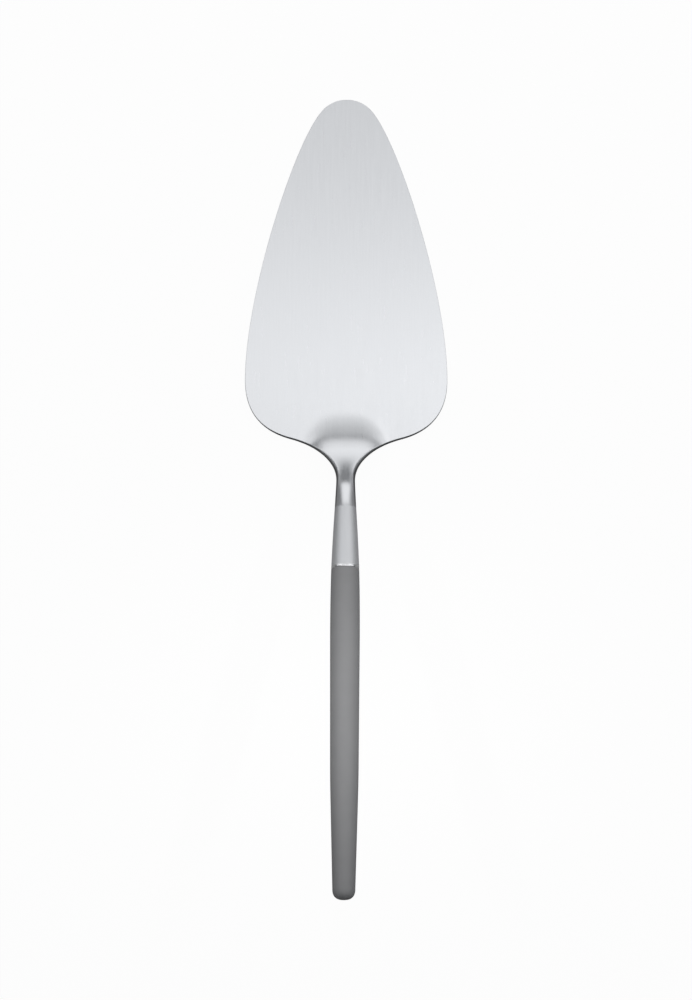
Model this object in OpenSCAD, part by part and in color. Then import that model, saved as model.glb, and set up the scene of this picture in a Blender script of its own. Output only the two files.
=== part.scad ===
// Cake server, in millimetres.
// A leaf shaped steel blade bends up at its heel into a stem that swells to a round end. A turned
// steel neck is seated on the stem's spigot, and a moulded grip is bonded over a steel tang that
// stands in the neck. Y runs to the tip, Z is up and X is across. The flat underside of the blade
// lies on Z = 0, and the origin is halfway between the tip and the tail.

/* [Blade outline] */
// Radius of the round nose
nose_r = 10.8; // [9.5:0.1:12]
// Angle that the nose turns through on each side
nose_turn = 47.5; // [42:0.5:54]
// Width of the blade at its widest place
blade_w = 65.8; // [60:0.2:72]
// Distance from the tip to the widest place
wide_at = 91; // [87:0.5:94]
// Pull of the side curve where it leaves the nose
side_lead = 13; // [8:0.5:20]
// Pull of the side curve where it reaches the widest place
side_tail = 28; // [20:0.5:36]
// Pull of the corner curve where it leaves the widest place
corner_lead = 9; // [6:0.5:10]
// Pull of the corner curve where it reaches the turn of the heel
corner_tail = 11.5; // [8:0.5:14]
// Distance from the centreline to the turn of the heel
heel_x = 18; // [16:0.2:21]
// Distance from the tip to the turn of the heel
heel_at = 110.3; // [109:0.1:112]
// Slant of the heel edge at its turn, from straight across
heel_slant = 15; // [12:1:19]
// Pull of the flare where it leaves the turn of the heel
flare_lead = 7.6; // [6.5:0.1:9]
// Pull of the flare where it reaches the waist
flare_tail = 6.6; // [5:0.1:7.5]
// Width of the stem at its waist
waist_w = 6.1; // [5.4:0.1:6.8]
// Distance from the tip to the waist
waist_at = 123.3; // [122:0.1:125]
// Pull of the stem's side where it leaves the waist
stem_lead = 1.5; // [0.5:0.1:3]
// Pull of the stem's side where it reaches the neck
stem_tail = 4; // [2:0.1:5]

/* [Blade thickness] */
// Thickness of the plate at the tip
tip_t = 1.2; // [1:0.1:1.6]
// Thickness of the plate where the heel starts to rise
heel_t = 1.8; // [1.4:0.1:2.4]
// How far the blade's edge stands out past its flat faces
edge_bulge = 0.2; // [0.15:0.05:0.5]
// How far the edge stands out where the blade has narrowed to the waist
waist_bulge = 0.5; // [0.3:0.05:0.9]
// How far the foot of the edge stands out past its middle at the waist
waist_lean = 0.4; // [0.2:0.05:0.7]
// Distance from the tip at which the edge starts to stand out further
bulge_at = 99; // [96:0.5:106]

/* [Blade rise] */
// Distance from the tip to the start of the upward bend
rise_at = 98.5; // [96:0.1:104]
// Plan length over which the bend reaches its steepest
rise_run = 18; // [16:0.5:22]
// Steepest angle of the stem
rise_angle = 28; // [24:0.5:34]
// Distance from the tip to the start of the bend back
crest_at = 123.6; // [121:0.1:126]
// Plan length of the bend back to the angle of the handle
crest_run = 4.5; // [3.6:0.1:6]
// Distance from the tip at which the stem starts to swell
swell_at = 114; // [111:0.1:117]
// How fast the swell still grows at the neck, where 0 is not at all
swell_end = 0.6; // [0:0.1:1]
// Distance from the centreline at which the bend starts later by the lag
lag_reach = 9; // [7:0.2:12]
// How much later the bend starts at that distance
lag_len = 2.3; // [1.5:0.1:4]

/* [Neck] */
// Distance from the tip to the joint of the stem and the neck, measured in plan
joint_at = 132.5; // [132.2:0.1:136]
// Diameter of the joint
joint_d = 6.9; // [6.8:0.1:7.4]
// Length of the neck along its axis
neck_len = 20.1; // [19:0.1:24]
// Diameter of the neck at the handle
neck_rear_d = 8.95; // [8.6:0.05:9.2]
// Outward bow of the neck's side
neck_bow = 0.06; // [0:0.01:0.2]
// Radius of the polished edge at the rear of the neck
neck_edge_r = 0.75; // [0.3:0.05:1]
// Angle that the polished edge turns through
neck_edge_turn = 28; // [20:1:45]
// Diameter of the spigot on the end of the stem
spigot_d = 4; // [3:0.1:4.6]
// Length of the spigot past the joint
spigot_len = 7; // [5:0.5:7.5]

/* [Handle] */
// Angle at which the neck and the handle rise toward the tail
handle_angle = 14; // [8:1:20]
// Length of the handle along its axis
handle_len = 106.2; // [90:0.1:120]
// Diameter of the handle at its fullest place
belly_d = 9.46; // [9.3:0.02:10.4]
// Distance from the front of the handle to its fullest place
belly_at = 22; // [18:0.5:30]
// Distance from the front of the handle over which its side curve starts
belly_lead = 8; // [5:0.5:10]
// Diameter of the handle where its end taper starts
shoulder_d = 8.98; // [8.4:0.02:9.2]
// Distance from the front of the handle to the start of the end taper
shoulder_at = 69; // [60:0.5:76]
// Length over which the side turns into the end taper
shoulder_blend = 12; // [6:0.5:18]
// Diameter of the handle where its domed end starts
tail_d = 7.25; // [6.6:0.05:8]
// Length of the domed end
dome_len = 3.6; // [3:0.1:4.5]
// Fullness of the domed end, where 2 is a plain ellipse
dome_power = 2.6; // [2:0.1:3]
// Radius of the handle's front edge
handle_edge_r = 0.15; // [0.1:0.05:0.3]

/* [Tang] */
// Diameter of the tang
tang_d = 4.5; // [3.6:0.1:5]
// Length of the tang that is seated in the neck
tang_seat = 8; // [6:0.5:9]
// Length of the tang inside the handle
tang_len = 60; // [50:1:66]
// Length of the chamfer on the tang's ends
tang_chamfer = 0.5; // [0.3:0.1:0.8]
// Number of ring grooves that key the tang in the handle
groove_count = 4; // [2:1:5]
// Width of a ring groove
groove_w = 1.5; // [1:0.1:2]
// Depth of a ring groove
groove_depth = 0.5; // [0.3:0.1:0.8]
// Distance from one ring groove to the next
groove_pitch = 10; // [8:0.5:10]
// Distance from the tang's rear end to the last ring groove
groove_end = 7; // [4:0.5:8]
// Thickness of the adhesive round the tang
glue_t = 0.3; // [0.2:0.05:0.5]
// Length of the adhesive past the tang's end
glue_end = 1.5; // [1:0.1:3]

/* [Fits] */
// Radial clearance of the spigot and the tang in the neck's bores
seat_clear = 0.02; // [0.01:0.01:0.05]
// Space left at the bottom of each of the neck's bores
seat_end = 0.3; // [0.2:0.1:0.5]

/* [Hidden] */
$fn = 96;

// How much longer each cut and each joined root is than what it passes
overrun = 0.5;
// Curve steps along the nose, side, corner, flare and stem of the outline
nose_steps = 7;
side_steps = 12;
corner_steps = 10;
flare_steps = 16;
stem_steps = 8;
// Steps across the plate and round each of its edges
across_steps = 12;
edge_steps = 6;
ring_n = 2 * across_steps + 2 * edge_steps;
// Steps along a curve and round an edge of a turned piece
curve_steps = 12;
// Angle at which the nose starts on each side, which leaves the tip slightly blunt
blunt_angle = 6;
// How sharply the bend's lag grows away from the centreline
lag_power = 3.6;

// Slopes of the stem, reach of the domed end past its start, and total length from tip to tail
steep = tan(rise_angle);
shallow = tan(handle_angle);
reach_power = dome_power / (dome_power - 1);
tail_reach = pow(pow(dome_len * cos(handle_angle), reach_power)
    + pow(tail_d / 2 * sin(handle_angle), reach_power), 1 / reach_power);
straight_len = neck_len + handle_len - dome_len;
overall_len = joint_at + straight_len * cos(handle_angle) + tail_reach;
tip_y = overall_len / 2;
bore_d = tang_d + 2 * glue_t;
bore_len = tang_len + glue_end;

// Smooth step from 0 to 1, and the area under it
function ramp(x) = x <= 0 ? 0 : x >= 1 ? 1 : x * x * (3 - 2 * x);
function ramp_area(x) = x <= 0 ? 0 : x >= 1 ? x - 1 / 2 : x * x * x * (1 - x / 2);

// Points of curves with one and with two pulls
function curve2(p, q, r, t) = (1 - t) * (1 - t) * p + 2 * (1 - t) * t * q + t * t * r;
function curve3(p, q, r, s, t) =
    (1 - t) * curve2(p, q, r, t) + t * curve2(q, r, s, t);

// Outline of one side of the blade: distance from the centreline, distance from the tip
nose_end = nose_r * [sin(nose_turn), cos(blunt_angle) - cos(nose_turn)];
nose_dir = [cos(nose_turn), sin(nose_turn)];
wide_point = [blade_w / 2, wide_at];
heel_point = [heel_x, heel_at];
heel_dir = [-cos(heel_slant), sin(heel_slant)];
waist_point = [waist_w / 2, waist_at];
joint_point = [joint_d / 2, joint_at];
neck_dir = [(neck_rear_d - joint_d) / 2, neck_len] / norm([(neck_rear_d - joint_d) / 2, neck_len]);
back = [0, 1];
outline = concat(
    [for (i = [0:nose_steps - 1])
        let (a = blunt_angle + (nose_turn - blunt_angle) * i / nose_steps)
        nose_r * [sin(a), cos(blunt_angle) - cos(a)]],
    [for (i = [0:side_steps - 1])
        curve3(nose_end, nose_end + side_lead * nose_dir, wide_point - side_tail * back,
            wide_point, i / side_steps)],
    [for (i = [0:corner_steps - 1])
        curve3(wide_point, wide_point + corner_lead * back, heel_point - corner_tail * heel_dir,
            heel_point, i / corner_steps)],
    [for (i = [0:flare_steps - 1])
        curve3(heel_point, heel_point + flare_lead * heel_dir, waist_point - flare_tail * back,
            waist_point, i / flare_steps)],
    [for (i = [0:stem_steps])
        curve3(waist_point, waist_point + stem_lead * back, joint_point - stem_tail * neck_dir,
            joint_point, i / stem_steps)]);
station_n = len(outline);

// Share of the change from flat plate to round stem at a distance from the tip
function roundness(u) =
    let (x = min(max((u - swell_at) / (joint_at - swell_at), 0), 1))
    x * x * (3 - swell_end - (2 - swell_end) * x);

// Thickness of the steel at a distance from the tip
function plate_t(u) = tip_t + (heel_t - tip_t) * min(u / rise_at, 1);
function thickness(u) = plate_t(u) + (joint_d - plate_t(u)) * roundness(u);

// How far the edge stands out past the flat faces, and its foot past its middle
function waist_share(u) = ramp((u - bulge_at) / (waist_at - bulge_at));
function bulge(u) = edge_bulge + (waist_bulge - edge_bulge) * waist_share(u);
function lean(u) = waist_lean * waist_share(u);

// How far in from the outline the edge lies where it has turned from -90 up to 90 degrees
function edge_inset(u, turn) =
    norm([bulge(u), lean(u)]) - bulge(u) * cos(turn) + lean(u) * sin(turn);

// Height and slope of the bend at a distance from its start
function rise(v) = steep * rise_run * ramp_area(v / rise_run)
    - (steep - shallow) * crest_run * ramp_area((v - crest_at + rise_at) / crest_run);
function rise_slope(v) = steep * ramp(v / rise_run)
    - (steep - shallow) * ramp((v - crest_at + rise_at) / crest_run);

// How much later the bend comes away from the centreline, and how fast that grows
function lag(x) = lag_len * pow(abs(x) / lag_reach, lag_power);
function lag_slope(x) = sign(x) * lag_power * lag_len / lag_reach
    * pow(abs(x) / lag_reach, lag_power - 1);

// Outward direction of the outline in plan, turned straight out where the stem is round
function way(i) = outline[min(i + 1, station_n - 1)] - outline[max(i - 1, 0)];
function outward(i) =
    let (d = way(i), n = [d.y, -d.x * (1 - roundness(outline[i].y))])
    n / norm(n);

// Point k of the flat section with round edges: across, along and up from the station
function edge_point(i, side, turn) =
    let (r = thickness(outline[i].y) / 2, inset = edge_inset(outline[i].y, turn),
        n = outward(i))
    [side * (outline[i].x - n.x * inset), -n.y * inset, r * sin(turn)];
function flat_point(i, share, face) =
    let (p = edge_point(i, 1, 90 * face))
    [share * p.x, p.y, p.z];
function flat_section(i, k) =
    k <= edge_steps ? edge_point(i, 1, 180 * k / edge_steps - 90) :
    k < edge_steps + across_steps ?
        flat_point(i, 1 - 2 * (k - edge_steps) / across_steps, 1) :
    k <= 2 * edge_steps + across_steps ?
        edge_point(i, -1, 90 - 180 * (k - edge_steps - across_steps) / edge_steps) :
        flat_point(i, 2 * (k - 2 * edge_steps - across_steps) / across_steps - 1, -1);

// Point k of the oval section of the same width and thickness
function oval_section(i, k) =
    let (a = 360 * (k - edge_steps / 2) / ring_n)
    [outline[i].x * cos(a), 0, thickness(outline[i].y) / 2 * sin(a)];

// Point k of the ring at station i, square to the bent middle surface of the blade
function ring_point(i, k) =
    let (q = roundness(outline[i].y),
        s = (1 - q) * flat_section(i, k) + q * oval_section(i, k),
        u = outline[i].y + s.y,
        v = u - rise_at - (1 - q) * lag(s.x),
        m = rise_slope(v),
        n = [(1 - q) * m * lag_slope(s.x), m, 1] / norm([(1 - q) * m * lag_slope(s.x), m, 1]))
    [s.x, tip_y - u, thickness(outline[i].y) / 2 + rise(v)] + s.z * n;

// Faces between rings, across the blunt tip and over the joint
function ring_faces(i) =
    [for (k = [0:ring_n - 1])
        let (a = i * ring_n + k, b = i * ring_n + (k + 1) % ring_n)
        each [[a, b + ring_n, b], [a, a + ring_n, b + ring_n]]];
function across_from(k) = 2 * edge_steps + across_steps - k;
tip_faces = concat(
    [concat([for (k = [across_from(1):ring_n - 1]) k], [0, 1])],
    [for (k = [1:edge_steps - 2]) [k, k + 1, across_from(k + 1), across_from(k)]],
    [[for (k = [edge_steps - 1:across_from(edge_steps - 1)]) k]]);
joint_face = [for (k = [ring_n - 1:-1:0]) (station_n - 1) * ring_n + k];

// The axis of the neck, tang and handle starts at the middle of the joint
joint_z = joint_d / 2 + rise(joint_at - rise_at);
module on_axis(distance = 0) {
    translate([0, tip_y - joint_at, joint_z])
        rotate([90 - handle_angle, 0, 0])
            translate([0, 0, distance])
                children();
}

module blade_body() {
    polyhedron(
        points = [for (i = [0:station_n - 1]) for (k = [0:ring_n - 1]) ring_point(i, k)],
        faces = concat(tip_faces, [for (i = [0:station_n - 2]) each ring_faces(i)], [joint_face]));
}

module spigot(clear = 0, extra = 0) {
    translate([0, 0, -overrun])
        cylinder(d = spigot_d + 2 * clear, h = spigot_len + overrun + extra);
}

module blade() {
    color([0.78, 0.79, 0.80])
        union() {
            blade_body();
            on_axis() spigot();
        }
}

// Side of the neck from its front to its rear face, with the polished rear edge
neck_side = concat(
    [for (i = [0:curve_steps])
        let (t = i / curve_steps, z = t * (neck_len - neck_edge_r * sin(neck_edge_turn)))
        [joint_d / 2 + (neck_rear_d - joint_d) / 2 * t + 4 * neck_bow * t * (1 - t), z]],
    [for (i = [1:edge_steps])
        let (a = neck_edge_turn * i / edge_steps)
        [neck_rear_d / 2 - neck_edge_r * (1 - cos(a)),
            neck_len - neck_edge_r * (sin(neck_edge_turn) - sin(a))]]);

module neck() {
    color([0.70, 0.71, 0.73])
        on_axis()
            difference() {
                rotate_extrude()
                    polygon(concat([[0, 0]], neck_side, [[0, neck_len]]));
                spigot(seat_clear, seat_end);
                translate([0, 0, neck_len - tang_seat - seat_end])
                    cylinder(d = tang_d + 2 * seat_clear, h = tang_seat + seat_end + overrun);
            }
}

// The rod and its ring grooves, measured from its front end
module tang_body() {
    rod_len = tang_seat + tang_len;
    difference() {
        union() {
            cylinder(d1 = tang_d - 2 * tang_chamfer, d2 = tang_d, h = tang_chamfer);
            translate([0, 0, tang_chamfer])
                cylinder(d = tang_d, h = rod_len - 2 * tang_chamfer);
            translate([0, 0, rod_len - tang_chamfer])
                cylinder(d1 = tang_d, d2 = tang_d - 2 * tang_chamfer, h = tang_chamfer);
        }
        for (i = [0:groove_count - 1])
            translate([0, 0, rod_len - groove_end - groove_w - i * groove_pitch])
                difference() {
                    cylinder(d = tang_d + 2 * overrun, h = groove_w);
                    translate([0, 0, -overrun])
                        cylinder(d = tang_d - 2 * groove_depth, h = groove_w + 2 * overrun);
                }
    }
}

module tang() {
    color([0.60, 0.61, 0.63])
        on_axis(neck_len - tang_seat)
            tang_body();
}

module handle_bore(extra = 0) {
    translate([0, 0, -extra])
        cylinder(d = bore_d, h = bore_len + extra);
}

module tang_adhesive() {
    color([0.86, 0.80, 0.62])
        on_axis(neck_len)
            difference() {
                handle_bore();
                translate([0, 0, -tang_seat])
                    tang_body();
            }
}

// Side of the handle from its front edge through the belly, the tapers and the domed end
taper_end = handle_len - dome_len;
shoulder_front = belly_d + (shoulder_d - belly_d)
    * (shoulder_at - shoulder_blend / 2 - belly_at) / (shoulder_at - belly_at);
shoulder_rear = shoulder_d + (tail_d - shoulder_d)
    * (shoulder_blend / 2) / (taper_end - shoulder_at);
handle_side = concat(
    [for (i = [0:edge_steps - 1])
        let (a = 90 * i / edge_steps)
        [neck_rear_d / 2 - handle_edge_r * (1 - sin(a)), handle_edge_r * (1 - cos(a))]],
    [for (i = [0:curve_steps])
        curve2([neck_rear_d / 2, handle_edge_r], [belly_d / 2, belly_lead],
            [belly_d / 2, belly_at], i / curve_steps)],
    [for (i = [0:curve_steps])
        curve2([shoulder_front / 2, shoulder_at - shoulder_blend / 2],
            [shoulder_d / 2, shoulder_at],
            [shoulder_rear / 2, shoulder_at + shoulder_blend / 2], i / curve_steps)],
    [for (i = [0:curve_steps - 1])
        let (a = 90 * i / curve_steps)
        [tail_d / 2 * pow(cos(a), 2 / dome_power),
            taper_end + dome_len * pow(sin(a), 2 / dome_power)]]);

module handle() {
    color([0.55, 0.55, 0.56])
        on_axis(neck_len)
            difference() {
                rotate_extrude()
                    polygon(concat([[0, 0]], handle_side, [[0, handle_len]]));
                handle_bore(overrun);
            }
}

blade();
neck();
tang();
tang_adhesive();
handle();
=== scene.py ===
# %% [markdown]
# Cake server
#
# A cake server is three pieces in one line: a thin brushed steel blade whose heel bends up into a
# stem, a short turned steel neck, and a round grip of matte grey resin. A steel tang and its
# adhesive hold the grip on from inside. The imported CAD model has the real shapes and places. This
# lesson dresses it: finer skins for what shows, and a finish for every piece.

from math import atan, copysign, cos, hypot, pi, radians, sin, tan

import bmesh
import bpy
from mathutils import Matrix, Vector


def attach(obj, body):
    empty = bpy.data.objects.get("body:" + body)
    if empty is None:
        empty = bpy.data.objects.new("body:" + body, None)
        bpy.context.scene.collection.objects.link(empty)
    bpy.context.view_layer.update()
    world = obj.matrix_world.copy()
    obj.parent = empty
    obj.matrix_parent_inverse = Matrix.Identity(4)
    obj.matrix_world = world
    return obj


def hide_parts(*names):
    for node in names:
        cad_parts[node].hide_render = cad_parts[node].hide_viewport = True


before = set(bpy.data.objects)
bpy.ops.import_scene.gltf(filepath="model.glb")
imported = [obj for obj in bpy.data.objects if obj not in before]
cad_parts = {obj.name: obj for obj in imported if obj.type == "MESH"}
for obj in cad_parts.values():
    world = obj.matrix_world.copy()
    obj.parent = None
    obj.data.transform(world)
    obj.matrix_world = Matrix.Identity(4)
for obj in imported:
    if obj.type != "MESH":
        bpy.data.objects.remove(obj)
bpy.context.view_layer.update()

# %% [markdown]
# The camera
#
# The photograph looks straight down on the server from a little over a metre, with the tip at the
# top. A camera that isn't turned looks down with +Y up, so it only needs its place. It stands a
# few millimetres to one side and is rolled by a fraction of a degree, because the photographed
# grip leans slightly to the left of the blade's centreline.

# %% Camera
CAMERA_HEIGHT = 1.2
CAMERA_SIDE = 0.0085
CAMERA_ALONG = -0.00236
CAMERA_AIM = 0.00005
CAMERA_ROLL = radians(0.15)
PICTURE_HEIGHT = 0.325

camera_data = bpy.data.cameras.new("overhead_camera")
camera_data.sensor_fit = "VERTICAL"
camera_data.lens = camera_data.sensor_height * CAMERA_HEIGHT / PICTURE_HEIGHT
camera = bpy.data.objects.new("overhead_camera", camera_data)
camera.matrix_world = (
    Matrix.Translation((CAMERA_SIDE, CAMERA_ALONG, CAMERA_HEIGHT))
    @ Matrix.Rotation(atan((CAMERA_SIDE - CAMERA_AIM) / CAMERA_HEIGHT), 4, "Y")
    @ Matrix.Rotation(CAMERA_ROLL, 4, "Z")
)
bpy.context.scene.collection.objects.link(camera)
bpy.context.scene.camera = camera
bpy.context.scene.view_settings.view_transform = "Standard"
print("lens in mm:", round(camera_data.lens, 1))

# %% [markdown]
# The floor
#
# The server lies on a plain pale floor, a hair below the blade, because two surfaces at one height
# would flicker through each other. To the camera the floor is white: nearly all of that is light of
# its own that only camera rays meet, and the rest is a matte surface that takes the soft shadow.
# What the steel reflects is set apart from that and painted: for reflections only, the floor glows
# with a painted light patch round the front of the blade and painted shade behind the heel, and is
# dim elsewhere, so the blade's edges are light at the front and dark round the heel.

# %% Helpers for node trees
def node(tree, kind, **values):
    """Adds a node and sets its plain values, by socket name or by property."""
    made = tree.nodes.new(kind)
    for name, value in values.items():
        if name in made.inputs:
            made.inputs[name].default_value = value
        else:
            setattr(made, name, value)
    return made


def finish_tree(name):
    """A new material's node tree with only its output."""
    material = bpy.data.materials.new(name)
    material.use_nodes = True
    material.node_tree.nodes.clear()
    output = material.node_tree.nodes.new("ShaderNodeOutputMaterial")
    return material, material.node_tree, output


def give(tree, value, socket):
    """Links an output to a socket, or sets the socket to a plain value."""
    if isinstance(value, bpy.types.NodeSocket):
        tree.links.new(value, socket)
    else:
        socket.default_value = value


def maths(tree, operation, *values):
    """Output of a Math node on outputs or plain values."""
    made = node(tree, "ShaderNodeMath", operation=operation)
    for value, socket in zip(values, made.inputs):
        give(tree, value, socket)
    return made.outputs[0]


def mixed_colour(tree, share, first, second):
    """Output that goes from the first colour to the second by a share."""
    mix = node(tree, "ShaderNodeMix", data_type="RGBA")
    for name, value in (("A", first), ("B", second)):
        give(tree, value, next(s for s in mix.inputs if s.name == name and s.type == "RGBA"))
    tree.links.new(share, mix.inputs["Factor"])
    return next(s for s in mix.outputs if s.type == "RGBA")


def put_out_mix(tree, share, first, second, output):
    """Puts out a mix of two shaders, where the share is the second's."""
    blend = node(tree, "ShaderNodeMixShader")
    tree.links.new(share, blend.inputs["Fac"])
    tree.links.new(first.outputs[0], blend.inputs[1])
    tree.links.new(second.outputs[0], blend.inputs[2])
    tree.links.new(blend.outputs[0], output.inputs["Surface"])


# %% Masks by place on the floor
def soft_step(tree, value, start, end, low=0, high=1):
    """Output that goes smoothly from low to high while a value goes from start to end."""
    made = node(tree, "ShaderNodeMapRange", interpolation_type="SMOOTHSTEP")
    for name, number in (("From Min", start), ("From Max", end), ("To Min", low), ("To Max", high)):
        made.inputs[name].default_value = number
    tree.links.new(value, made.inputs["Value"])
    return made.outputs[0]


def oval_distance(tree, place, centre, reach):
    """Distance from an oval's centre, which is 1 on the oval itself."""
    within = node(tree, "ShaderNodeMapping", vector_type="TEXTURE")
    within.inputs["Location"].default_value = (*centre, 0)
    within.inputs["Scale"].default_value = (*reach, 1)
    length = node(tree, "ShaderNodeVectorMath", operation="LENGTH")
    tree.links.new(place, within.inputs["Vector"])
    tree.links.new(within.outputs[0], length.inputs[0])
    return length.outputs["Value"]


# %% Floor finish
WHITE = (1, 1, 1, 1)
SEEN_MATTE = (0.90, 0.90, 0.90, 1)
LIT_MATTE = (0.20, 0.20, 0.20, 1)
OWN_LIGHT_SHARE = 0.96
# Painted light: for reflections only, the floor glows in an oval round the front of the blade, cut off
# before the heel.
PAINTED_GLOW_CENTRE = (0, 0.085)
PAINTED_GLOW_REACH = (0.045, 0.062)
PAINTED_GLOW_SOFTNESS = 0.35
PAINTED_GLOW_HEEL = 0.022
HEEL_SOFTNESS = 0.016
# Painted shade: the reflected glow drops nearly to dark round the throat behind the heel, where the neck
# shades the floor.
PAINTED_SHADE_CENTRE = (0, 0.012)
PAINTED_SHADE_REACH = (0.024, 0.014)
PAINTED_SHADE_SOFTNESS = 0.6
PAINTED_SHADE_GLOW = 0.03
DIM_GLOW = 0.25

floor_finish, tree, output = finish_tree("pale_floor")
rays = node(tree, "ShaderNodeLightPath")
camera_ray = rays.outputs["Is Camera Ray"]
shiny_ray = maths(tree, "MAXIMUM", rays.outputs["Is Glossy Ray"], rays.outputs["Is Transmission Ray"])
place = node(tree, "ShaderNodeTexCoord").outputs["Object"]
split = node(tree, "ShaderNodeSeparateXYZ")
tree.links.new(place, split.inputs[0])

# Strength of the painted glow that only reflections see: light round the front, painted shade behind the
# heel, dim elsewhere.
from_painted_glow = oval_distance(tree, place, PAINTED_GLOW_CENTRE, PAINTED_GLOW_REACH)
painted_glow = soft_step(tree, from_painted_glow, 1 + PAINTED_GLOW_SOFTNESS, 1)
past_heel = soft_step(tree, split.outputs["Y"], PAINTED_GLOW_HEEL, PAINTED_GLOW_HEEL + HEEL_SOFTNESS)
from_painted_shade = oval_distance(tree, place, PAINTED_SHADE_CENTRE, PAINTED_SHADE_REACH)
dim_with_painted_shade = soft_step(tree, from_painted_shade, 1, 1 + PAINTED_SHADE_SOFTNESS, PAINTED_SHADE_GLOW, DIM_GLOW)
painted_glow_part = maths(tree, "MULTIPLY", painted_glow, past_heel)
painted_reflection_glow = maths(tree, "MULTIPLY_ADD", painted_glow_part, 1 - DIM_GLOW, dim_with_painted_shade)

own_light = node(tree, "ShaderNodeEmission", Color=WHITE)
tree.links.new(maths(tree, "MAXIMUM", camera_ray, painted_reflection_glow), own_light.inputs["Strength"])
matte = node(tree, "ShaderNodeBsdfDiffuse")
tree.links.new(mixed_colour(tree, camera_ray, LIT_MATTE, SEEN_MATTE), matte.inputs["Color"])
own_share = maths(tree, "MAXIMUM", maths(tree, "MULTIPLY", camera_ray, OWN_LIGHT_SHARE), shiny_ray)
put_out_mix(tree, own_share, matte, own_light, output)
print("floor finish:", len(tree.nodes), "nodes")

# %% Floor
FLOOR_SIZE = 6.0
FLOOR_GAP = 0.0001

bm = bmesh.new()
bmesh.ops.create_grid(bm, x_segments=1, y_segments=1, size=FLOOR_SIZE / 2)
bmesh.ops.translate(bm, verts=bm.verts, vec=(0, 0, -FLOOR_GAP))
floor_mesh = bpy.data.meshes.new("floor")
bm.to_mesh(floor_mesh)
bm.free()
floor_mesh.materials.append(floor_finish)
floor = bpy.data.objects.new("floor", floor_mesh)
bpy.context.scene.collection.objects.link(floor)
print("floor is", FLOOR_SIZE, "m wide")

# %% [markdown]
# The light
#
# Steel shows its lights, so they are placed by what the photographed steel shows. A cloth overhead,
# laid in strips across the blade, gives the flat of the blade its grey: the strips are dimmer toward
# the tip, as the photographed blade is. The rear ones end left of the blade, so the heel's left edge
# stays dark, and one more cloth, most of it on the right, lifts the heel a little. Two low softboxes
# beyond the tip light what faces the tip: the bend at the heel and the top of the stem. The gap
# between them and the cloth overhead is the dark band across the bend. Wings and side cloths light
# the sides of the stem and the neck. No lamp stands at the tail, so edges that face it stay dark.
# Three narrow spots light only the matte grip.

# %% Helper for softboxes
def softbox(name, size, place, aim, brightness):
    """A rectangular lamp that faces a point and is seen by the steel but not by the camera."""
    data = bpy.data.lights.new(name, "AREA")
    data.shape = "RECTANGLE"
    data.size, data.size_y = size
    data.energy = brightness * pi * size[0] * size[1]
    lamp = bpy.data.objects.new(name, data)
    facing = (Vector(aim) - Vector(place)).to_track_quat("-Z", "Y").to_matrix().to_4x4()
    lamp.matrix_world = Matrix.Translation(place) @ facing
    lamp.visible_camera = False
    bpy.context.scene.collection.objects.link(lamp)
    print(name, "has a brightness of", brightness)


# %% Cloth overhead, as strips with their start, end, left side and brightness
OVERHEAD_HEIGHT = 0.6
OVERHEAD_RIGHT = 1.65
OVERHEAD_STRIPS = (
    (-0.21, 0.02, -0.5, 0.67),
    (0.02, 0.07, -0.6, 0.96),
    (0.07, 0.14, -1.2, 0.89),
    (0.14, 0.21, -1.65, 0.69),
    (0.21, 0.29, -1.65, 0.65),
    (0.29, 0.50, -1.65, 0.50),
)

for start, end, left, brightness in OVERHEAD_STRIPS:
    middle = ((OVERHEAD_RIGHT + left) / 2, (start + end) / 2)
    size = (OVERHEAD_RIGHT - left, end - start)
    softbox("overhead_cloth", size, (*middle, OVERHEAD_HEIGHT), (*middle, 0), brightness)

# %% Other softboxes
WING_OUT, WING_ALONG, WING_HEIGHT = 0.95, 0.31, 0.64
SIDE_OUT, SIDE_ALONG, SIDE_HEIGHT = 1.3, 0.475, 0.45

softbox("right_cloth", size=(0.5, 0.15), place=(0.2, 0.025, 0.61), aim=(0.2, 0.025, 0), brightness=0.36)
softbox("low_softbox", size=(0.82, 0.417), place=(0.06, 0.615, 0.335), aim=(0.06, 0, 0), brightness=0.57)
softbox("low_spread", size=(1.6, 0.4), place=(0.18, 0.636, 0.338), aim=(0.18, 0, 0), brightness=0.44)
for side in (-1, 1):
    softbox(
        "wing",
        size=(1.2, 0.38),
        place=(WING_OUT * side, WING_ALONG, WING_HEIGHT),
        aim=(WING_OUT * side, WING_ALONG, 0),
        brightness=0.35,
    )
    softbox(
        "side_cloth",
        size=(0.95, 0.3),
        place=(SIDE_OUT * side, SIDE_ALONG, SIDE_HEIGHT),
        aim=(0, SIDE_ALONG, SIDE_HEIGHT),
        brightness=0.5,
    )

# %% Spots on the grip, with their lean to the side and energy
FILL_SPOTS = ((0, 20.5), (-50, 25), (50, 25))
FILL_HEIGHT = 1.4
FILL_ALONG = -0.064
FILL_FORWARD = radians(20)
FILL_RADIUS = 0.04
FILL_SPREAD = radians(5.4)
GRIP_HEIGHT = 0.03

for lean, energy in FILL_SPOTS:
    fill_data = bpy.data.lights.new("grip_fill", "SPOT")
    fill_data.energy = energy
    fill_data.shadow_soft_size = FILL_RADIUS
    fill_data.spot_size = FILL_SPREAD
    fill_data.spot_blend = 1.0
    fill = bpy.data.objects.new("grip_fill", fill_data)
    fill.matrix_world = (
        Matrix.Translation((0, FILL_ALONG, GRIP_HEIGHT))
        @ Matrix.Rotation(-FILL_FORWARD, 4, "X")
        @ Matrix.Rotation(radians(lean), 4, "Y")
        @ Matrix.Translation((0, 0, FILL_HEIGHT))
    )
    fill.visible_camera = False
    fill.visible_glossy = False
    bpy.context.scene.collection.objects.link(fill)

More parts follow.
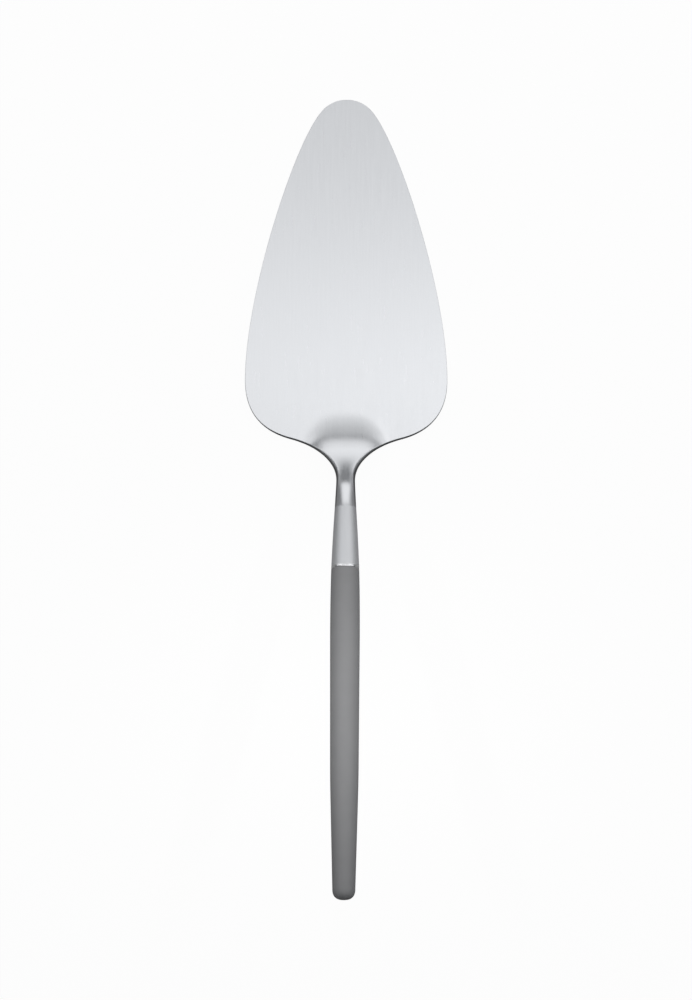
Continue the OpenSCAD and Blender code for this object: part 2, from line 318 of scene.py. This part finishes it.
# %% World, white to the camera and dim to all else
DIM_ROOM = (0.9, 0.95, 1, 1)
DIM_STRENGTH = 0.12

world = bpy.data.worlds.new("studio")
world.use_nodes = True
world.node_tree.nodes.clear()
tree = world.node_tree
output = node(tree, "ShaderNodeOutputWorld")
room = node(tree, "ShaderNodeBackground", Color=DIM_ROOM, Strength=DIM_STRENGTH)
backdrop = node(tree, "ShaderNodeBackground", Color=WHITE, Strength=1.0)
rays = node(tree, "ShaderNodeLightPath")
put_out_mix(tree, rays.outputs["Is Camera Ray"], room, backdrop, output)
bpy.context.scene.world = world
print("world:", world.name)

# %% [markdown]
# The blade's sizes and curves
#
# The blade is drawn as the CAD source draws it, in millimetres, with the same named sizes, so its
# skin lies on the CAD solid. One side of the outline is a nose arc and four pulled curves. Along
# the way the section changes from a flat plate with round edges to the round end of the stem.

# %% Sizes of the blade
MM = 0.001

nose_r, nose_turn, blunt_angle = 10.8, 47.5, 6
blade_w, wide_at = 65.8, 91
side_lead, side_tail = 13, 28
corner_lead, corner_tail = 9, 11.5
heel_x, heel_at, heel_slant = 18, 110.3, 15
flare_lead, flare_tail = 7.6, 6.6
waist_w, waist_at = 6.1, 123.3
stem_lead, stem_tail = 1.5, 4
joint_d, joint_at = 6.9, 132.5
tip_t, heel_t = 1.2, 1.8
edge_bulge, waist_bulge, waist_lean, bulge_at = 0.2, 0.5, 0.4, 99
rise_at, rise_run, rise_angle = 98.5, 18, 28
crest_at, crest_run = 123.6, 4.5
swell_at, swell_end = 114, 0.6
lag_reach, lag_len, lag_power = 9, 2.3, 3.6
print("blade is", blade_w, "mm wide and ends", joint_at, "mm from its tip")

# %% Sizes of the neck and the grip that set the server's length
neck_len, neck_rear_d = 20.1, 8.95
handle_angle, handle_len = radians(14), 106.2
tail_d, dome_len, dome_power = 7.25, 3.6, 2.6

reach_power = dome_power / (dome_power - 1)
dome_reach = (dome_len * cos(handle_angle)) ** reach_power
dome_reach += (tail_d / 2 * sin(handle_angle)) ** reach_power
tail_reach = dome_reach ** (1 / reach_power)
overall_len = joint_at + (neck_len + handle_len - dome_len) * cos(handle_angle) + tail_reach
tip_y = overall_len / 2


# %% Curves along the blade
def ramp(x):
    """Smooth step from 0 to 1."""
    x = min(max(x, 0), 1)
    return x * x * (3 - 2 * x)


def ramp_area(x):
    """Area under the smooth step, from 0 to x."""
    inside = min(max(x, 0), 1)
    return inside ** 3 * (1 - inside / 2) + max(x - 1, 0)


def pulled(points, t):
    """Point at share t of a curve that starts and ends at the outer points, pulled by the others."""
    points = [Vector(p) for p in points]
    while len(points) > 1:
        points = [a.lerp(b, t) for a, b in zip(points, points[1:])]
    return points[0]


def roundness(from_tip):
    """Share of the change from plate to round stem."""
    x = min(max((from_tip - swell_at) / (joint_at - swell_at), 0), 1)
    return x * x * (3 - swell_end - (2 - swell_end) * x)


def thickness(from_tip):
    """Thickness of the steel."""
    plate = tip_t + (heel_t - tip_t) * min(from_tip / rise_at, 1)
    return plate + (joint_d - plate) * roundness(from_tip)


def waist_share(from_tip):
    """Share of the change from the blade's thin edge to the waist's."""
    return ramp((from_tip - bulge_at) / (waist_at - bulge_at))


def edge_inset(from_tip, turn):
    """How far in from the outline the edge lies, at a turn from -90 at its foot up to 90."""
    share = waist_share(from_tip)
    bulge = edge_bulge + (waist_bulge - edge_bulge) * share
    lean = waist_lean * share
    return hypot(bulge, lean) - bulge * cos(radians(turn)) + lean * sin(radians(turn))


# %% The bend, by the distance past its start
steep = tan(radians(rise_angle))
shallow = tan(handle_angle)


def rise(past_start):
    """Height of the bend."""
    climb = steep * rise_run * ramp_area(past_start / rise_run)
    past_crest = ramp_area((past_start - crest_at + rise_at) / crest_run)
    return climb - (steep - shallow) * crest_run * past_crest


def rise_slope(past_start):
    """Slope of the bend."""
    past_crest = ramp((past_start - crest_at + rise_at) / crest_run)
    return steep * ramp(past_start / rise_run) - (steep - shallow) * past_crest


print("stem rises to", round(joint_d / 2 + rise(joint_at - rise_at), 1), "mm at the joint")

# %% Corners of the outline, as distance from the centreline and from the tip
blunt = cos(radians(blunt_angle))
nose_across, nose_along = cos(radians(nose_turn)), sin(radians(nose_turn))
nose_dir = Vector((nose_across, nose_along))
nose_end = Vector((nose_along, blunt - nose_across)) * nose_r
wide_point = Vector((blade_w / 2, wide_at))
heel_point = Vector((heel_x, heel_at))
heel_dir = Vector((-cos(radians(heel_slant)), sin(radians(heel_slant))))
waist_point = Vector((waist_w / 2, waist_at))
joint_point = Vector((joint_d / 2, joint_at))
neck_dir = Vector(((neck_rear_d - joint_d) / 2, neck_len)).normalized()
back = Vector((0, 1))
print("nose arc ends", round(nose_end.x, 1), "mm out and", round(nose_end.y, 1), "mm from the tip")

# %% Outline of one side
NOSE_STEPS, SIDE_STEPS, CORNER_STEPS, FLARE_STEPS, STEM_STEPS = 14, 30, 30, 50, 26

outline = []
for i in range(NOSE_STEPS):
    a = radians(blunt_angle + (nose_turn - blunt_angle) * i / NOSE_STEPS)
    outline.append(Vector((sin(a), blunt - cos(a))) * nose_r)
for steps, start, start_pull, end_pull, end in (
    (SIDE_STEPS, nose_end, side_lead * nose_dir, -side_tail * back, wide_point),
    (CORNER_STEPS, wide_point, corner_lead * back, -corner_tail * heel_dir, heel_point),
    (FLARE_STEPS, heel_point, flare_lead * heel_dir, -flare_tail * back, waist_point),
    (STEM_STEPS, waist_point, stem_lead * back, -stem_tail * neck_dir, joint_point),
):
    pulls = (start, start + start_pull, end + end_pull, end)
    outline += [pulled(pulls, i / steps) for i in range(steps)]
outline.append(joint_point)
print(len(outline), "stations along the blade")

# %% [markdown]
# The blade's skin
#
# The real blade is blanked from sheet, ground thin towards the tip, bent, and forged round at the
# stem. A flat shape with Solidify could make the plate, but not the change to a round stem. So the
# skin starts as the small blunt face of the tip, and its rim is extruded from station to station,
# each time laid on that station's section. Points lie closer near the round edges, which keeps the
# flat faces flat in the shading.

# %% Section of the blade at a station
OVAL_EDGE_ANGLE = 30


def outward(i):
    """Outward direction of the outline in plan, turned straight out where the stem is round."""
    way = outline[min(i + 1, len(outline) - 1)] - outline[max(i - 1, 0)]
    return Vector((way.y, -way.x * (1 - roundness(outline[i].y)))).normalized()


def oval_angle(share, turn):
    """Angle on the round stem at which a point of the plate's edge or faces ends up."""
    if abs(share) == 1:
        return turn * OVAL_EDGE_ANGLE / 90
    return copysign(90 - (90 - OVAL_EDGE_ANGLE) * abs(share), turn)


def section_point(i, share, turn):
    """Point of station i: share of the width from -1 to 1, turn of the surface from -90 up to 90."""
    half_width, from_tip = outline[i]
    half_thick = thickness(from_tip) / 2
    round_share = roundness(from_tip)
    out = outward(i)
    inset = edge_inset(from_tip, turn)
    across = share * (half_width - out.x * inset)
    plate = Vector((across, -out.y * inset, half_thick * sin(radians(turn))))
    angle = radians(oval_angle(share, turn))
    oval = Vector((copysign(half_width * cos(angle), share), 0, half_thick * sin(angle)))
    place = plate.lerp(oval, round_share)
    late = lag_len * (abs(place.x) / lag_reach) ** lag_power
    late_slope = lag_power * late / place.x if place.x else 0
    past_start = from_tip + place.y - rise_at - (1 - round_share) * late
    slope = rise_slope(past_start)
    up = Vector(((1 - round_share) * slope * late_slope, slope, 1)).normalized()
    middle = Vector((place.x, tip_y - from_tip - place.y, half_thick + rise(past_start)))
    return (middle + place.z * up) * MM


# %% Points round a section
ACROSS_STEPS = 40
EDGE_STEPS = 10

shares = [cos(pi * j / ACROSS_STEPS) for j in range(ACROSS_STEPS + 1)]
turns = [180 * k / EDGE_STEPS - 90 for k in range(EDGE_STEPS + 1)]
rim = (
    [(1, turn) for turn in turns]
    + [(share, 90) for share in shares[1:-1]]
    + [(-1, turn) for turn in reversed(turns)]
    + [(share, -90) for share in reversed(shares[1:-1])]
)
print(len(rim), "points round each section")


# %% Blade skin, from the tip to the joint
def edges_round(bm, loop):
    """The edges that join the points of a closed loop, in order."""
    return [bm.edges.get(pair) for pair in zip(loop, loop[1:] + loop[:1])]


bm = bmesh.new()
cut_edge = bm.verts.layers.float.new("cut_edge")
tip_face = bmesh.ops.create_grid(bm, x_segments=ACROSS_STEPS, y_segments=EDGE_STEPS, size=1)
tip_points = {}
for vert in tip_face["verts"]:
    column = round((1 - vert.co.x) / 2 * ACROSS_STEPS)
    row = round((1 + vert.co.y) / 2 * EDGE_STEPS)
    tip_points[shares[column], turns[row]] = vert
loop = [tip_points[point] for point in rim]
for (share, turn), vert in tip_points.items():
    edge = section_point(0, 1, turn)
    vert.co = (share * edge.x, edge.y, edge.z)

for i in range(1, len(outline)):
    grown = bmesh.ops.extrude_edge_only(bm, edges=edges_round(bm, loop))["geom"]
    new = {g for g in grown if isinstance(g, bmesh.types.BMVert)}
    loop = [next(e.other_vert(v) for e in v.link_edges if e.other_vert(v) in new) for v in loop]
    for vert, (share, turn) in zip(loop, rim):
        vert.co = section_point(i, share, turn)
        if abs(share) == 1:
            vert[cut_edge] = cos(radians(turn)) * (1 - waist_share(outline[i].y))
print("blade skin:", len(bm.verts), "points,", len(bm.faces), "faces")

# %% Spigot on the end of the stem
spigot_d, spigot_len = 4, 7
axis = Vector((0, -cos(handle_angle), sin(handle_angle)))
shoulder = (joint_d - spigot_d) / 2 * MM

end_face = bmesh.ops.contextual_create(bm, geom=edges_round(bm, loop))["faces"]
for edge in end_face[0].edges:
    edge.smooth = False
bmesh.ops.inset_region(bm, faces=end_face, thickness=shoulder, use_even_offset=False)
pin = bmesh.ops.extrude_face_region(bm, geom=end_face)
pin_verts = [g for g in pin["geom"] if isinstance(g, bmesh.types.BMVert)]
bmesh.ops.translate(bm, verts=pin_verts, vec=axis * spigot_len * MM)
bmesh.ops.delete(bm, geom=end_face, context="FACES_ONLY")
print("spigot is", spigot_len, "mm long")

# %% Blade
SAME_PLACE = 1e-7


def finished_piece(name, bm):
    """Turns a closed bmesh into an object whose faces point outwards, and frees it."""
    bmesh.ops.remove_doubles(bm, verts=bm.verts, dist=SAME_PLACE)
    bmesh.ops.recalc_face_normals(bm, faces=bm.faces)
    for face in bm.faces:
        face.smooth = True
    open_edges = sum(not edge.is_manifold for edge in bm.edges)
    volume = bm.calc_volume() / MM ** 3
    mesh = bpy.data.meshes.new(name)
    bm.to_mesh(mesh)
    bm.free()
    piece = bpy.data.objects.new(name, mesh)
    bpy.context.scene.collection.objects.link(piece)
    print(name, len(mesh.polygons), "faces,", round(volume, 1), "cubic mm,", open_edges, "open edges")
    return piece


blade = finished_piece("server_blade", bm)
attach(blade, "root")
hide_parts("blade")

# %% [markdown]
# The neck and the grip
#
# Both are turned shapes on one axis, which starts at the middle of the stem's end and rises
# towards the tail. Each is a profile that is spun round the axis, bores included: the neck's front
# bore takes the spigot, its rear bore takes the tang, and the grip's blind bore takes the tang and
# its adhesive. Corners that are sharp on the real pieces are marked, so the shading breaks there.

# %% Helper for turned pieces
AXIS_START = Vector((0, (tip_y - joint_at) * MM, (joint_d / 2 + rise(joint_at - rise_at)) * MM))
SPIN_STEPS = 120
RADIUS_SLACK = 2e-5
LEVEL_SLACK = 2e-6


def at_corner(edge, start, corner):
    """Whether an edge lies on the ring that a (radius, distance) corner makes when it is spun."""
    one, other = (vert.co for vert in edge.verts)
    middle = (one + other) / 2
    radius, distance = corner
    level = abs(one.z - other.z) < SAME_PLACE
    near_radius = abs(hypot(middle.x, middle.y) - radius * MM) < RADIUS_SLACK
    return level and near_radius and abs(middle.z - (start + distance) * MM) < LEVEL_SLACK


def turned_piece(name, start, profile, sharp, polished=None):
    """Spins a profile of (radius, distance) points, in mm, round the server's axis."""
    bm = bmesh.new()
    polish_mask = bm.verts.layers.float.new("polished_edge")
    corners = [bm.verts.new((r * MM, 0, (start + z) * MM)) for r, z in profile]
    line = corners + [bm.edges.new(pair) for pair in zip(corners, corners[1:])]
    bmesh.ops.spin(
        bm,
        geom=line,
        cent=(0, 0, 0),
        axis=(0, 0, 1),
        angle=2 * pi,
        steps=SPIN_STEPS,
        use_merge=True,
    )
    bmesh.ops.remove_doubles(bm, verts=bm.verts, dist=SAME_PLACE)
    for edge in bm.edges:
        if any(at_corner(edge, start, corner) for corner in sharp):
            edge.smooth = False
    if polished:
        inner, begins = polished
        for vert in bm.verts:
            outside = hypot(vert.co.x, vert.co.y) > inner * MM
            vert[polish_mask] = float(outside and vert.co.z > (start + begins) * MM - SAME_PLACE)
    place = Matrix.Translation(AXIS_START) @ Matrix.Rotation(pi / 2 - handle_angle, 4, "X")
    bmesh.ops.transform(bm, matrix=place, verts=bm.verts)
    return finished_piece(name, bm)


# %% Neck
neck_bow, neck_edge_r, neck_edge_turn = 0.06, 0.75, radians(28)
tang_d, tang_seat, seat_clear, seat_end = 4.5, 8, 0.02, 0.3
SIDE_POINTS = 24
ARC_POINTS = 10

neck_side = []
for i in range(SIDE_POINTS + 1):
    t = i / SIDE_POINTS
    radius = joint_d / 2 + (neck_rear_d - joint_d) / 2 * t + 4 * neck_bow * t * (1 - t)
    neck_side.append((radius, t * (neck_len - neck_edge_r * sin(neck_edge_turn))))
edge_start = neck_side[-1][1]
for i in range(1, ARC_POINTS + 1):
    a = neck_edge_turn * i / ARC_POINTS
    neck_side.append((
        neck_rear_d / 2 - neck_edge_r * (1 - cos(a)),
        neck_len - neck_edge_r * (sin(neck_edge_turn) - sin(a)),
    ))
front_bore = (spigot_d / 2 + seat_clear, spigot_len + seat_end)
front_mouth = (front_bore[0], 0)
rear_bore = (tang_d / 2 + seat_clear, neck_len - tang_seat - seat_end)
rear_mouth = (rear_bore[0], neck_len)
front = [(0, front_bore[1]), front_bore, front_mouth]
rear = [rear_mouth, rear_bore, (0, rear_bore[1])]
neck_sharp = [front_bore, front_mouth, neck_side[0], neck_side[-1], rear_mouth, rear_bore]
neck_profile = front + neck_side + rear
neck = turned_piece("server_neck", 0, neck_profile, neck_sharp, (joint_d / 2, edge_start))
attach(neck, "root")
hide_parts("neck")

# %% Runs of the grip's side, as (radius, distance) points
belly_d, belly_at, belly_lead = 9.46, 22, 8
shoulder_d, shoulder_at, shoulder_blend = 8.98, 69, 12
grip_edge_r = 0.15

taper_end = handle_len - dome_len
front_slope = (shoulder_d - belly_d) / (shoulder_at - belly_at)
rear_slope = (tail_d - shoulder_d) / (taper_end - shoulder_at)
blend_half = shoulder_blend / 2
blend_start = ((shoulder_d - front_slope * blend_half) / 2, shoulder_at - blend_half)
blend_end = ((shoulder_d + rear_slope * blend_half) / 2, shoulder_at + blend_half)
belly = (belly_d / 2, belly_at)
swell = ((neck_rear_d / 2, grip_edge_r), (belly_d / 2, belly_lead), belly)
turn_in = (blend_start, (shoulder_d / 2, shoulder_at), blend_end)
front_run = (belly, blend_start)
rear_run = (blend_end, (tail_d / 2, taper_end))
print("grip narrows by", round(-front_slope, 4), "and then", round(-rear_slope, 4), "mm a mm")

# %% Grip
glue_t, glue_end, tang_len = 0.3, 1.5, 60

grip_side = []
for i in range(ARC_POINTS):
    a = pi / 2 * i / ARC_POINTS
    grip_side.append((neck_rear_d / 2 - grip_edge_r * (1 - sin(a)), grip_edge_r * (1 - cos(a))))
whole, between = range(SIDE_POINTS + 1), range(1, SIDE_POINTS)
for pulls, steps in ((swell, whole), (front_run, between), (turn_in, whole), (rear_run, between)):
    grip_side += [tuple(pulled(pulls, i / SIDE_POINTS)) for i in steps]
for i in range(SIDE_POINTS):
    a = pi / 2 * i / SIDE_POINTS
    grip_side.append((
        tail_d / 2 * cos(a) ** (2 / dome_power),
        taper_end + dome_len * sin(a) ** (2 / dome_power),
    ))
bore_end = (tang_d / 2 + glue_t, tang_len + glue_end)
bore_mouth = (bore_end[0], 0)
grip_profile = [(0, bore_end[1]), bore_end, bore_mouth, *grip_side, (0, handle_len)]
grip = turned_piece("server_grip", neck_len, grip_profile, [bore_end, bore_mouth])
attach(grip, "root")
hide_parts("handle")

# %% [markdown]
# Brushed steel
#
# Belts with fine grit run along the blade and leave short scratches. They scatter light sideways
# far more than lengthwise, so the shader is anisotropic, and its tangent follows the brushing. The
# scratches themselves are noise that is stretched along the brushing. The blade, the neck and the
# tang all have them, so they are one node group that takes how many there are to a metre each way.

# %% Group for brushed scratches
COUNT_AXES = {"Across per metre": "X", "Along per metre": "Y", "Depth per metre": "Z"}

scratches = bpy.data.node_groups.new("brushed_scratches", "ShaderNodeTree")
scratches.interface.new_socket("Place", in_out="INPUT", socket_type="NodeSocketVector")
for name in COUNT_AXES:
    scratches.interface.new_socket(name, in_out="INPUT", socket_type="NodeSocketFloat")
scratches.interface.new_socket("Scratches", in_out="OUTPUT", socket_type="NodeSocketFloat")
given = node(scratches, "NodeGroupInput")
result = node(scratches, "NodeGroupOutput")
stretch = node(scratches, "ShaderNodeCombineXYZ")
scaled = node(scratches, "ShaderNodeVectorMath", operation="MULTIPLY")
grain = node(scratches, "ShaderNodeTexNoise", Scale=1.0, Detail=4.0, Roughness=0.65)
for name, letter in COUNT_AXES.items():
    scratches.links.new(given.outputs[name], stretch.inputs[letter])
scratches.links.new(given.outputs["Place"], scaled.inputs[0])
scratches.links.new(stretch.outputs[0], scaled.inputs[1])
scratches.links.new(scaled.outputs[0], grain.inputs["Vector"])
scratches.links.new(grain.outputs["Fac"], result.inputs["Scratches"])
print("group:", scratches.name)

# %% Brushed steel finish
RELIEF_DEPTH = 0.00002
ACROSS_TANGENT = 0.25
FAINT_SCRATCH, STRONG_SCRATCH = 0.3, 0.7


def brushed_steel(name, dark, light, smooth, rough, lean, anisotropy, counts):
    """Steel brushed along a line that leans up from -Y by an angle."""
    material, tree, output = finish_tree(name)
    steel = node(tree, "ShaderNodeBsdfPrincipled", Metallic=1.0, Anisotropic=anisotropy)
    steel.inputs["Anisotropic Rotation"].default_value = ACROSS_TANGENT
    place = node(tree, "ShaderNodeTexCoord")
    along = node(tree, "ShaderNodeMapping", Rotation=(lean, 0, 0))
    lines = node(tree, "ShaderNodeGroup", node_tree=scratches)
    for socket, count in zip(lines.inputs[1:], counts):
        socket.default_value = count
    spread = node(tree, "ShaderNodeMapRange")
    spread.inputs["From Min"].default_value = FAINT_SCRATCH
    spread.inputs["From Max"].default_value = STRONG_SCRATCH
    spread.inputs["To Min"].default_value = smooth
    spread.inputs["To Max"].default_value = rough
    relief = node(tree, "ShaderNodeBump", Strength=0.25, Distance=RELIEF_DEPTH)
    direction = node(tree, "ShaderNodeCombineXYZ", Y=-cos(lean), Z=sin(lean))
    tone = mixed_colour(tree, lines.outputs[0], (*dark, 1), (*light, 1))
    tree.links.new(place.outputs["Object"], along.inputs["Vector"])
    tree.links.new(along.outputs[0], lines.inputs["Place"])
    tree.links.new(lines.outputs[0], spread.inputs["Value"])
    tree.links.new(lines.outputs[0], relief.inputs["Height"])
    tree.links.new(tone, steel.inputs["Base Color"])
    tree.links.new(spread.outputs[0], steel.inputs["Roughness"])
    tree.links.new(relief.outputs[0], steel.inputs["Normal"])
    tree.links.new(direction.outputs[0], steel.inputs["Tangent"])
    tree.links.new(steel.outputs[0], output.inputs["Surface"])
    return material


# %% Polished parts of the steel
def shader_of(material):
    """The Principled node of a finish."""
    return next(n for n in material.node_tree.nodes if n.type == "BSDF_PRINCIPLED")


def polish(material, mask_name, colour, roughness):
    """Makes steel brighter and smoother where its points carry a mask."""
    tree = material.node_tree
    steel = shader_of(material)
    mask = node(tree, "ShaderNodeAttribute", attribute_name=mask_name).outputs["Fac"]
    brushed_colour = steel.inputs["Base Color"].links[0].from_socket
    brushed_roughness = steel.inputs["Roughness"].links[0].from_socket
    bright = mixed_colour(tree, mask, brushed_colour, (*colour, 1))
    smoother = node(tree, "ShaderNodeMapRange")
    smoother.inputs["To Max"].default_value = roughness
    tree.links.new(brushed_roughness, smoother.inputs["To Min"])
    tree.links.new(mask, smoother.inputs["Value"])
    tree.links.new(bright, steel.inputs["Base Color"])
    tree.links.new(smoother.outputs[0], steel.inputs["Roughness"])


# %% Steel of the blade, the neck and the tang
blade_finish = brushed_steel(
    "brushed_blade_steel",
    dark=(0.70, 0.71, 0.73),
    light=(0.78, 0.79, 0.81),
    smooth=0.27,
    rough=0.33,
    lean=0.0,
    anisotropy=0.6,
    counts=(1400, 65, 65),
)
neck_finish = brushed_steel(
    "satin_neck_steel",
    dark=(0.78, 0.79, 0.81),
    light=(0.84, 0.85, 0.87),
    smooth=0.44,
    rough=0.50,
    lean=handle_angle,
    anisotropy=0.4,
    counts=(1800, 90, 1800),
)
tang_finish = brushed_steel(
    "turned_tang_steel",
    dark=(0.48, 0.49, 0.51),
    light=(0.54, 0.55, 0.57),
    smooth=0.32,
    rough=0.4,
    lean=handle_angle,
    anisotropy=0.2,
    counts=(300, 4000, 300),
)
polish(blade_finish, "cut_edge", colour=(0.80, 0.81, 0.82), roughness=0.3)
polish(neck_finish, "polished_edge", colour=(0.92, 0.93, 0.94), roughness=0.15)
blade.data.materials.append(blade_finish)
neck.data.materials.append(neck_finish)
print("steel:", blade_finish.name, neck_finish.name, tang_finish.name)

# %% [markdown]
# Grey resin
#
# The grip is moulded in a filled grey resin with a soft sheen. Up close its skin has the fine
# texture of a blasted mould and a slight cloudiness from the filler. Modelled pits would take
# far too many faces, so both are noise in the material, at the scale of the real ones.

# %% Helper for cloudy plastics
def noise(tree, scale, detail):
    """Output of a soft noise that is fixed to the object."""
    place = node(tree, "ShaderNodeTexCoord")
    made = node(tree, "ShaderNodeTexNoise", Scale=scale, Detail=detail, Roughness=0.5)
    tree.links.new(place.outputs["Object"], made.inputs["Vector"])
    return made.outputs["Fac"]


def cloudy_plastic(name, dark, light, scale, detail, roughness):
    """Plastic with soft clouds of two close colours."""
    material, tree, output = finish_tree(name)
    plastic = node(tree, "ShaderNodeBsdfPrincipled", Roughness=roughness)
    tone = mixed_colour(tree, noise(tree, scale, detail), (*dark, 1), (*light, 1))
    tree.links.new(tone, plastic.inputs["Base Color"])
    tree.links.new(plastic.outputs[0], output.inputs["Surface"])
    return material


# %% Resin finish
resin_finish = cloudy_plastic(
    "matte_grip_resin",
    dark=(0.216, 0.216, 0.22),
    light=(0.236, 0.236, 0.24),
    scale=220.0,
    detail=3.0,
    roughness=0.55,
)
tree = resin_finish.node_tree
skin = node(tree, "ShaderNodeBump", Strength=0.3, Distance=RELIEF_DEPTH)
tree.links.new(noise(tree, scale=5200.0, detail=2.0), skin.inputs["Height"])
tree.links.new(skin.outputs[0], shader_of(resin_finish).inputs["Normal"])
grip.data.materials.append(resin_finish)
print("grip:", resin_finish.name)

# %% [markdown]
# The tang and its adhesive
#
# Both are hidden inside, and their CAD shapes are right as they are. They only get their finishes:
# turned steel, and amber adhesive with a few small clouds.

# %% Hidden pieces
adhesive_finish = cloudy_plastic(
    "cured_adhesive",
    dark=(0.64, 0.53, 0.30),
    light=(0.76, 0.67, 0.42),
    scale=400.0,
    detail=2.0,
    roughness=0.2,
)
for name, finish in (("tang", tang_finish), ("tang_adhesive", adhesive_finish)):
    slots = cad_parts[name].data.materials
    if slots:
        slots[0] = finish
    else:
        slots.append(finish)
    print(name, "has", finish.name)
